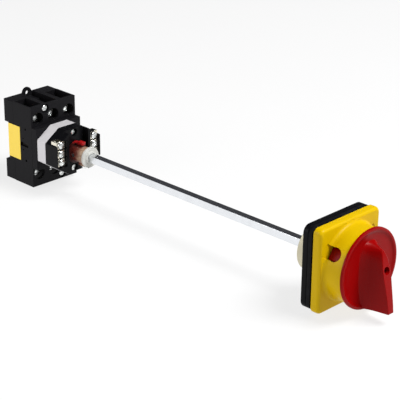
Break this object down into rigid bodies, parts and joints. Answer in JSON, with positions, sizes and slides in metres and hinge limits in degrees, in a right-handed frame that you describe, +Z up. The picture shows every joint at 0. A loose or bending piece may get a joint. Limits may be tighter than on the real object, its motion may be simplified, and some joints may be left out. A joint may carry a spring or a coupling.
{
  "type": "rotary isolator switch",
  "caption": "Rail-mounted rotary isolator with a terminal body, octagonal contact stages, a long square shaft and a red padlockable handle on a yellow door plate.",
  "frame": {"origin": "middle of the rail seat, on the axis of the shaft", "axes": "+X to the right seen from the handle, +Y to the rear, away from the handle, +Z up"},
  "size_m": [0.068, 0.4159, 0.0814],
  "materials": {
    "body_plastic": "satin moulded black",
    "latch_plastic": "satin moulded black",
    "stage_plastic": "satin moulded black",
    "label_silver": "satin silver-grey printed film",
    "label_yellow": "satin yellow printed film",
    "zinc_screw": "bright zinc plating",
    "pin_steel": "ground steel",
    "roll_pin_steel": "bright zinc plating",
    "handle_screw_steel": "darkened steel",
    "spring_steel": "drawn spring wire",
    "contact_copper": "rolled copper",
    "terminal_metal": "plated brass",
    "carriage_plastic": "moulded dark thermoset",
    "cream_plastic": "moulded cream nylon",
    "flange_plastic": "moulded grey-white nylon",
    "coupling_plastic": "moulded brick-red nylon",
    "flag_red": "moulded dark red",
    "shaft_steel": "drawn zinc-plated steel",
    "frame_black": "satin moulded black",
    "gasket_rubber": "matt black rubber",
    "plate_yellow": "satin moulded yellow",
    "handle_red": "satin moulded red"
  },
  "bodies": {
    "base": {"rail_base": "body_plastic", "latch_spring": "spring_steel", "terminal_housing": "body_plastic", "housing_screws": "zinc_screw", "line_contacts": "contact_copper", "load_contacts": "contact_copper", "terminal_saddles": "terminal_metal", "terminal_screws": "zinc_screw", "contact_cover": "body_plastic", "mechanism_stage": "stage_plastic", "stage_label": "label_silver", "detent_housing": "stage_plastic", "detent_plungers": "pin_steel", "detent_springs": "spring_steel", "aux_block_left": "stage_plastic", "aux_block_right": "stage_plastic", "aux_clamps": "terminal_metal", "aux_screws": "zinc_screw", "tie_screws": "zinc_screw", "side_label": "label_yellow"},
    "latch": {"rail_latch": "latch_plastic"},
    "carriage": {"contact_carriage": "carriage_plastic", "contact_bridges": "contact_copper", "bridge_springs": "spring_steel", "follower_pins": "pin_steel"},
    "rotor": {"cam_drum": "cream_plastic", "detent_star": "cream_plastic", "position_flag": "flag_red", "shaft_coupling": "coupling_plastic", "roll_pin": "roll_pin_steel", "clamp_screw": "zinc_screw", "coupling_flange": "flange_plastic", "drive_shaft": "shaft_steel"},
    "door_unit": {"clamp_frame": "frame_black", "seal_gasket": "gasket_rubber", "escutcheon": "plate_yellow", "plate_screws": "zinc_screw"},
    "handle": {"handle_socket": "cream_plastic", "shaft_seal": "gasket_rubber", "retaining_ring": "spring_steel", "handle": "handle_red", "handle_screw": "handle_screw_steel"}
  },
  "joints": [
    {"name": "door_slide", "type": "slide", "parent": "base", "child": "door_unit", "axis": [0, -1, 0], "range_m": [0, 0.025]},
    {"name": "handle_turn", "type": "hinge", "parent": "door_unit", "child": "handle", "pos_m": [0, -0.37, 0], "axis": [0, -1, 0], "range_deg": [0, 90]},
    {"name": "rotor_turn", "type": "hinge", "parent": "base", "child": "rotor", "pos_m": [0, -0.05, 0], "axis": [0, -1, 0], "range_deg": [0, 90]},
    {"name": "carriage_slide", "type": "slide", "parent": "base", "child": "carriage", "axis": [0, -1, 0], "range_m": [0, 0.005]},
    {"name": "latch_slide", "type": "slide", "parent": "base", "child": "latch", "axis": [0, 0, -1], "range_m": [0, 0.003], "stiffness_N_per_m": 1500, "springref_m": -0.002, "deforming": ["latch_spring"]}
  ],
  "couplings": [
    {"joint": "rotor_turn", "follows": "handle_turn", "ratio": 1},
    {"joint": "carriage_slide", "follows": "handle_turn", "m_per_rad": 0.0031831}
  ]
}
